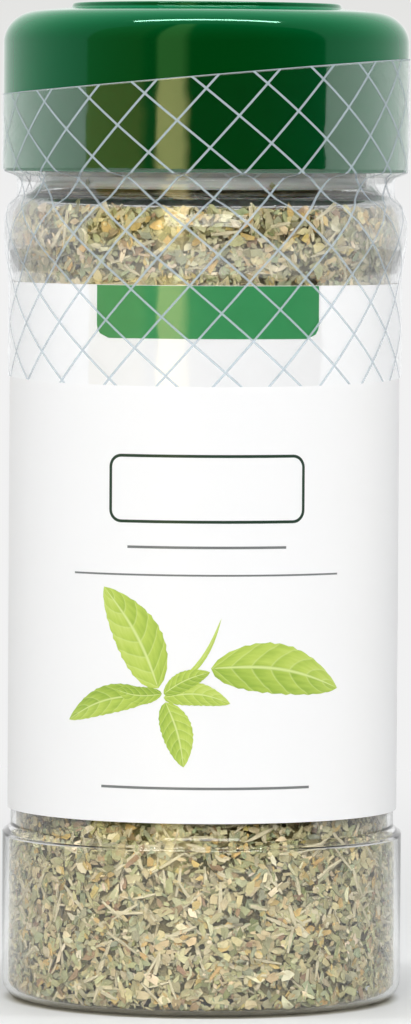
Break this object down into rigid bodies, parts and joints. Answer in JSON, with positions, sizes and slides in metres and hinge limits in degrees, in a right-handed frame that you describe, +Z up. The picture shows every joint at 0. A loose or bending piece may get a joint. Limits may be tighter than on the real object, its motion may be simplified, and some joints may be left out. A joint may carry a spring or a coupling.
{
  "type": "dried herb shaker jar",
  "caption": "Clear plastic spice jar full of dried basil leaf flakes, with a sifter insert, a lined green screw cap, a paper label and a clear shrink band over the joint.",
  "frame": {"origin": "centre of the foot ring, on the surface the jar stands on", "axes": "+Z up the jar's axis towards the cap, -Y towards the front of the label, +X to the right as seen from the front"},
  "size_m": [0.0454, 0.0454, 0.1097],
  "materials": {
    "clear_pet": "clear, glossy",
    "green_gloss": "glossy dark green",
    "liner_foam": "matt off-white foam",
    "natural_white": "milky, half gloss",
    "dried_leaf": "matt, loose flakes in olive, tan and brown",
    "white_paper": "coated white paper with a green tab and a leaf print",
    "clear_film": "clear thin film with a printed white lattice"
  },
  "bodies": {
    "jar": {"jar": "clear_pet", "sifter": "natural_white", "basil_leaf_fill": "dried_leaf", "label": "white_paper", "shrink_band": "clear_film"},
    "liner": {"cap_liner": "liner_foam"},
    "cap": {"cap": "green_gloss"}
  },
  "joints": [
    {"name": "cap_lift", "type": "slide", "parent": "jar", "child": "liner", "axis": [0, 0, 1], "range_m": [0, 0.005]},
    {"name": "cap_turn", "type": "hinge", "parent": "liner", "child": "cap", "pos_m": [0, 0, 0.1], "axis": [0, 0, 1], "range_deg": [0, 450]}
  ],
  "couplings": [
    {"joint": "cap_lift", "follows": "cap_turn", "m_per_rad": 0.0006366}
  ]
}
